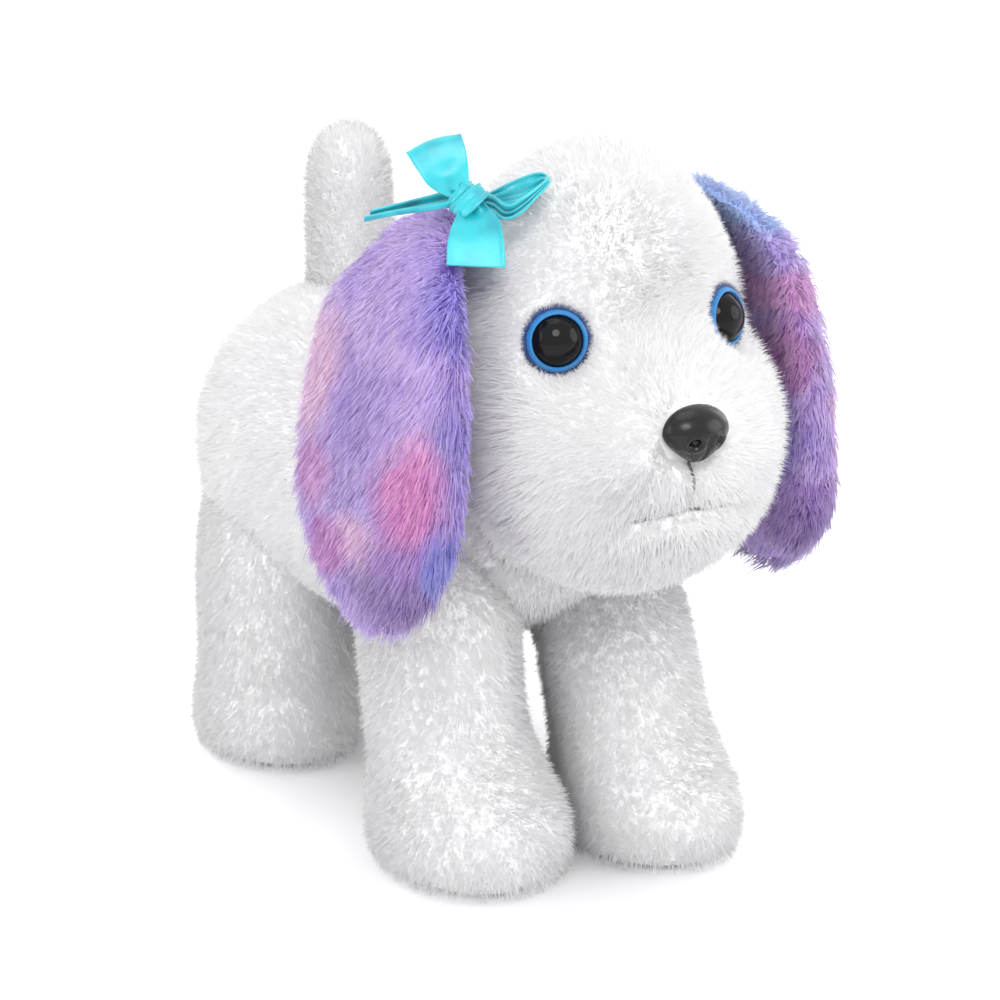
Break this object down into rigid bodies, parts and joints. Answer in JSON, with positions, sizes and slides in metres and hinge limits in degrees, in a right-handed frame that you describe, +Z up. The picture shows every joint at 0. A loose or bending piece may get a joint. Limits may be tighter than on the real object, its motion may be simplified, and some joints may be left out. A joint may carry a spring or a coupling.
{
  "type": "interactive plush puppy",
  "caption": "Battery-driven walking plush puppy with swinging legs, turning head, wagging tail, floppy tie-dye ears and a satin ribbon bow.",
  "frame": {"origin": "on the ground under the middle of the puppy's outline", "axes": "+Z up, the puppy faces -Y, its left side is +X"},
  "size_m": [0.1736, 0.2558, 0.2457],
  "materials": {
    "white_plush": "short white plush pile",
    "polyester_fill": "loose polyester filling",
    "tie_dye_fur": "long fur dyed lavender, pink, purple and blue",
    "ear_lining": "short violet plush",
    "turquoise_satin": "shiny satin ribbon",
    "black_eye": "high gloss",
    "blue_felt": "bright blue felt",
    "black_nose": "gloss",
    "grey_thread": "embroidery thread",
    "natural_plastic": "moulded",
    "bright_steel": "ground",
    "zinc_steel": "zinc plated",
    "battery_jacket": "printed jacket, plain",
    "gear_nylon": "moulded nylon",
    "motor_can": "plain can",
    "circuit_green": "solder mask",
    "black_plastic": "moulded",
    "white_plastic": "moulded"
  },
  "bodies": {
    "torso": {"torso_plush": "white_plush", "torso_stuffing": "polyester_fill", "chassis_left": "white_plastic", "chassis_right": "white_plastic", "chassis_screws": "zinc_steel", "front_hip_axle": "bright_steel", "rear_hip_axle": "bright_steel", "axle_clips": "bright_steel", "batteries": "battery_jacket", "battery_contacts": "zinc_steel", "battery_door": "white_plastic", "battery_door_screw": "zinc_steel", "switch_body": "black_plastic", "motor": "motor_can", "gearbox_plate_left": "white_plastic", "gearbox_plate_right": "white_plastic", "gearbox_posts": "bright_steel", "idler_axle": "bright_steel", "circuit_board": "circuit_green", "speaker": "black_plastic", "button_switch": "black_plastic", "neck_post": "white_plastic", "neck_screw": "zinc_steel", "tail_bracket": "white_plastic", "tail_pivot_pin": "bright_steel"},
    "belly_flap": {"battery_flap": "white_plush"},
    "power_switch": {"switch_knob": "black_plastic"},
    "back_touch": {"back_button": "white_plastic"},
    "crank": {"crankshaft": "bright_steel", "drive_gear": "gear_nylon", "crank_discs": "white_plastic"},
    "idler": {"idler_gear": "gear_nylon"},
    "motor_rotor": {"motor_pinion": "gear_nylon"},
    "head": {"head_plush": "white_plush", "head_stuffing": "polyester_fill", "neck_cup": "white_plastic", "eye_left": "black_eye", "eye_right": "black_eye", "eye_rings": "blue_felt", "face_washers": "natural_plastic", "nose": "black_nose", "mouth_thread": "grey_thread", "bow_loops": "turquoise_satin", "bow_knot": "turquoise_satin", "bow_tail_front": "turquoise_satin"},
    "ear_left": {"ear_left_fur": "tie_dye_fur", "ear_left_lining": "ear_lining"},
    "ear_right": {"ear_right_fur": "tie_dye_fur", "ear_right_lining": "ear_lining", "bow_tail_side": "turquoise_satin"},
    "tail": {"tail_plush": "white_plush", "tail_core": "white_plastic"},
    "leg_front_left": {"leg_front_left_plush": "white_plush", "leg_front_left_bone": "white_plastic"},
    "leg_front_right": {"leg_front_right_plush": "white_plush", "leg_front_right_bone": "white_plastic"},
    "leg_hind_left": {"leg_hind_left_plush": "white_plush", "leg_hind_left_bone": "white_plastic"},
    "leg_hind_right": {"leg_hind_right_plush": "white_plush", "leg_hind_right_bone": "white_plastic"}
  },
  "joints": [
    {"name": "head_turn", "type": "hinge", "parent": "torso", "child": "head", "pos_m": [0, -0.062, 0.16], "axis": [0, 0, 1], "range_deg": [-15, 15]},
    {"name": "ear_left_lift", "type": "hinge", "parent": "head", "child": "ear_left", "pos_m": [0.04, -0.06, 0.224], "axis": [0, -1, 0], "range_deg": [0, 30]},
    {"name": "ear_right_lift", "type": "hinge", "parent": "head", "child": "ear_right", "pos_m": [-0.04, -0.06, 0.224], "axis": [0, 1, 0], "range_deg": [0, 30]},
    {"name": "tail_wag", "type": "hinge", "parent": "torso", "child": "tail", "pos_m": [0, 0.084, 0.156], "axis": [0, 1, 0], "range_deg": [-18, 18], "stiffness_Nm_per_rad": 0.06},
    {"name": "leg_front_left_swing", "type": "hinge", "parent": "torso", "child": "leg_front_left", "pos_m": [0, -0.024, 0.084], "axis": [1, 0, 0], "range_deg": [-2.5, 11.5]},
    {"name": "leg_front_right_swing", "type": "hinge", "parent": "torso", "child": "leg_front_right", "pos_m": [0, -0.024, 0.084], "axis": [1, 0, 0], "range_deg": [-11.5, 2.5]},
    {"name": "leg_hind_right_swing", "type": "hinge", "parent": "torso", "child": "leg_hind_right", "pos_m": [0, 0.086, 0.084], "axis": [1, 0, 0], "range_deg": [-2.5, 11.5]},
    {"name": "leg_hind_left_swing", "type": "hinge", "parent": "torso", "child": "leg_hind_left", "pos_m": [0, 0.086, 0.084], "axis": [1, 0, 0], "range_deg": [-11.5, 2.5]},
    {"name": "crank_spin", "type": "hinge", "parent": "torso", "child": "crank", "pos_m": [0, 0.03, 0.1], "axis": [1, 0, 0], "continuous": true},
    {"name": "idler_spin", "type": "hinge", "parent": "torso", "child": "idler", "pos_m": [0, 0.04471, 0.11234], "axis": [1, 0, 0], "continuous": true},
    {"name": "motor_spin", "type": "hinge", "parent": "torso", "child": "motor_rotor", "pos_m": [0, 0.06049, 0.11809], "axis": [1, 0, 0], "continuous": true},
    {"name": "flap_open", "type": "hinge", "parent": "torso", "child": "belly_flap", "pos_m": [0, 0.045, 0.0601], "axis": [1, 0, 0], "range_deg": [0, 80]},
    {"name": "switch_slide", "type": "slide", "parent": "torso", "child": "power_switch", "axis": [0, 1, 0], "range_m": [0, 0.004]},
    {"name": "back_press", "type": "slide", "parent": "torso", "child": "back_touch", "axis": [0, 0, -1], "range_m": [0, 0.0024], "stiffness_N_per_m": 300}
  ],
  "couplings": [
    {"joint": "leg_front_right_swing", "follows": "leg_front_left_swing", "ratio": -1},
    {"joint": "leg_hind_right_swing", "follows": "leg_front_left_swing", "ratio": 1},
    {"joint": "leg_hind_left_swing", "follows": "leg_front_left_swing", "ratio": -1},
    {"joint": "idler_spin", "follows": "crank_spin", "ratio": -3},
    {"joint": "motor_spin", "follows": "crank_spin", "ratio": 9.6}
  ]
}
